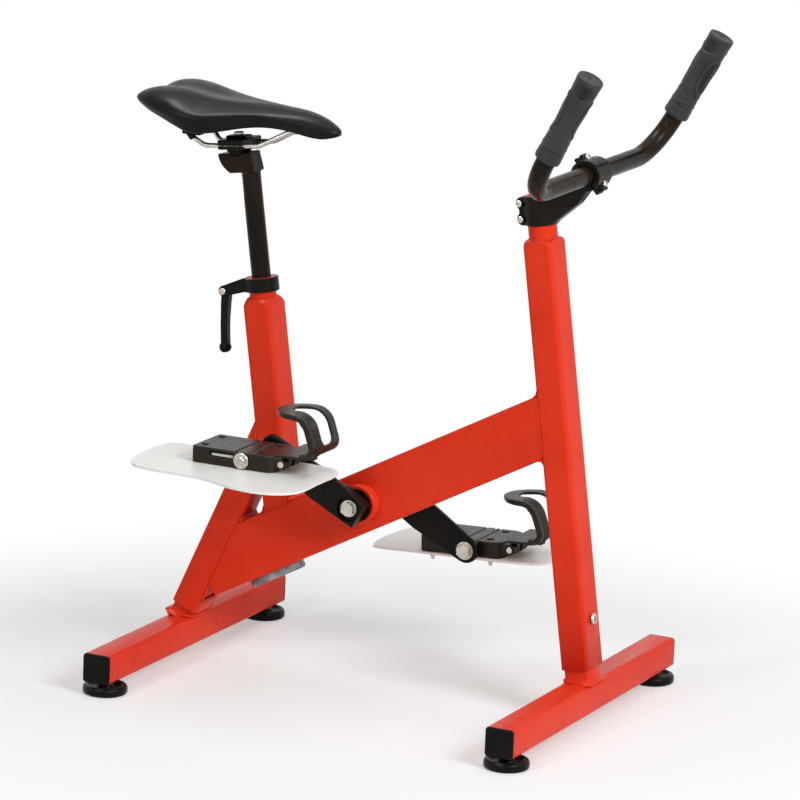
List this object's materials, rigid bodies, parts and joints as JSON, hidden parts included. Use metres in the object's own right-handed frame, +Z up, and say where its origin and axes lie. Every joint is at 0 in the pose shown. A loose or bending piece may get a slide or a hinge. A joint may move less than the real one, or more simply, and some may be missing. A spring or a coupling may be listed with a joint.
{
  "type": "aqua bike",
  "caption": "Pedal bike that stands on a pool floor: red tube frame on two crossbars, saddle, pedals with toe cages and water plates, and an upturned handlebar.",
  "frame": {"origin": "on the floor, under the middle of the whole bike's box", "axes": "+X towards the handlebar, +Y towards the rider's left, +Z up"},
  "size_m": [0.747, 0.531, 0.9071],
  "materials": {
    "frame_paint": "glossy orange-red powder coat",
    "black_tube": "satin black anodised",
    "black_metal": "satin black coating",
    "black_plastic": "moulded, slightly shiny",
    "pedal_plastic": "moulded, filled black plastic",
    "plate_plastic": "milky translucent sheet",
    "grip_rubber": "matt moulded rubber",
    "saddle_leather": "smooth black cover",
    "saddle_plastic": "moulded black shell",
    "anode_zinc": "rough cast, dull",
    "steel": "plain stainless"
  },
  "bodies": {
    "frame": {"front_column": "frame_paint", "front_base_bolt": "steel", "stem": "black_tube", "stem_faceplate": "black_tube", "stem_upper_bolt": "steel", "stem_lower_bolt": "steel", "faceplate_upper_bolt": "steel", "faceplate_lower_bolt": "steel", "rear_strut": "frame_paint", "rear_base_bolt": "steel", "main_beam": "frame_paint", "bottom_bracket_shell": "frame_paint", "anode": "anode_zinc", "left_bearing": "steel", "right_bearing": "steel", "seat_tube": "frame_paint", "seat_collar": "black_metal", "lever_pin": "steel", "rear_base": "frame_paint", "rear_right_end_cap": "black_plastic", "rear_left_end_cap": "black_plastic", "front_base": "frame_paint", "front_right_end_cap": "black_plastic", "front_left_end_cap": "black_plastic"},
    "crankset": {"crank_axle": "steel", "right_crank": "black_metal", "right_crank_bolt": "steel", "right_pedal_axle": "steel", "right_axle_cap": "steel", "left_crank": "black_metal", "left_crank_bolt": "steel", "left_pedal_axle": "steel", "left_axle_cap": "steel"},
    "right_pedal": {"right_pedal_body": "pedal_plastic", "right_toe_cage": "pedal_plastic", "right_toe_cage_pin": "steel", "right_water_plate": "plate_plastic"},
    "left_pedal": {"left_pedal_body": "pedal_plastic", "left_toe_cage": "pedal_plastic", "left_toe_cage_pin": "steel", "left_water_plate": "plate_plastic"},
    "seat_post": {"seat_post": "black_tube"},
    "collar_lever": {"collar_lever": "black_metal"},
    "saddle_clamp": {"rail_clamp_lower": "black_metal", "rail_clamp_upper": "black_metal", "rail_clamp_bolt": "steel"},
    "saddle": {"saddle_rails": "steel", "saddle_shell": "saddle_plastic", "saddle_cover": "saddle_leather"},
    "handlebar": {"handlebar": "black_tube", "right_grip": "grip_rubber", "left_grip": "grip_rubber"},
    "rear_right_foot": {"rear_right_foot_pad": "black_plastic", "rear_right_foot_stud": "steel"},
    "rear_left_foot": {"rear_left_foot_pad": "black_plastic", "rear_left_foot_stud": "steel"},
    "front_right_foot": {"front_right_foot_pad": "black_plastic", "front_right_foot_stud": "steel"},
    "front_left_foot": {"front_left_foot_pad": "black_plastic", "front_left_foot_stud": "steel"}
  },
  "joints": [
    {"name": "crank_spin", "type": "hinge", "parent": "frame", "child": "crankset", "pos_m": [-0.02662, 0, 0.259], "axis": [0, 1, 0], "continuous": true},
    {"name": "right_pedal_spin", "type": "hinge", "parent": "crankset", "child": "right_pedal", "pos_m": [-0.14267, 0, 0.326], "axis": [0, 1, 0], "continuous": true},
    {"name": "left_pedal_spin", "type": "hinge", "parent": "crankset", "child": "left_pedal", "pos_m": [0.08943, 0, 0.192], "axis": [0, 1, 0], "continuous": true},
    {"name": "seat_post_slide", "type": "slide", "parent": "frame", "child": "seat_post", "axis": [-0.1478, 0, 0.989], "range_m": [-0.09, 0.09]},
    {"name": "collar_lever_swing", "type": "hinge", "parent": "frame", "child": "collar_lever", "pos_m": [-0.25283, 0, 0.5167], "axis": [0, 1, 0], "range_deg": [0, 110]},
    {"name": "saddle_tilt", "type": "hinge", "parent": "seat_post", "child": "saddle_clamp", "pos_m": [-0.24147, 0, 0.71809], "axis": [0, 1, 0], "range_deg": [-10, 10]},
    {"name": "saddle_slide", "type": "slide", "parent": "saddle_clamp", "child": "saddle", "axis": [0.9945, 0, 0.1045], "range_m": [-0.015, 0.015]},
    {"name": "handlebar_tilt", "type": "hinge", "parent": "frame", "child": "handlebar", "pos_m": [0.27288, 0, 0.737], "axis": [0, 1, 0], "range_deg": [-20, 20]},
    {"name": "rear_right_foot_screw", "type": "slide", "parent": "frame", "child": "rear_right_foot", "axis": [0, 0, -1], "range_m": [0, 0.015]},
    {"name": "rear_left_foot_screw", "type": "slide", "parent": "frame", "child": "rear_left_foot", "axis": [0, 0, -1], "range_m": [0, 0.015]},
    {"name": "front_right_foot_screw", "type": "slide", "parent": "frame", "child": "front_right_foot", "axis": [0, 0, -1], "range_m": [0, 0.015]},
    {"name": "front_left_foot_screw", "type": "slide", "parent": "frame", "child": "front_left_foot", "axis": [0, 0, -1], "range_m": [0, 0.015]}
  ]
}
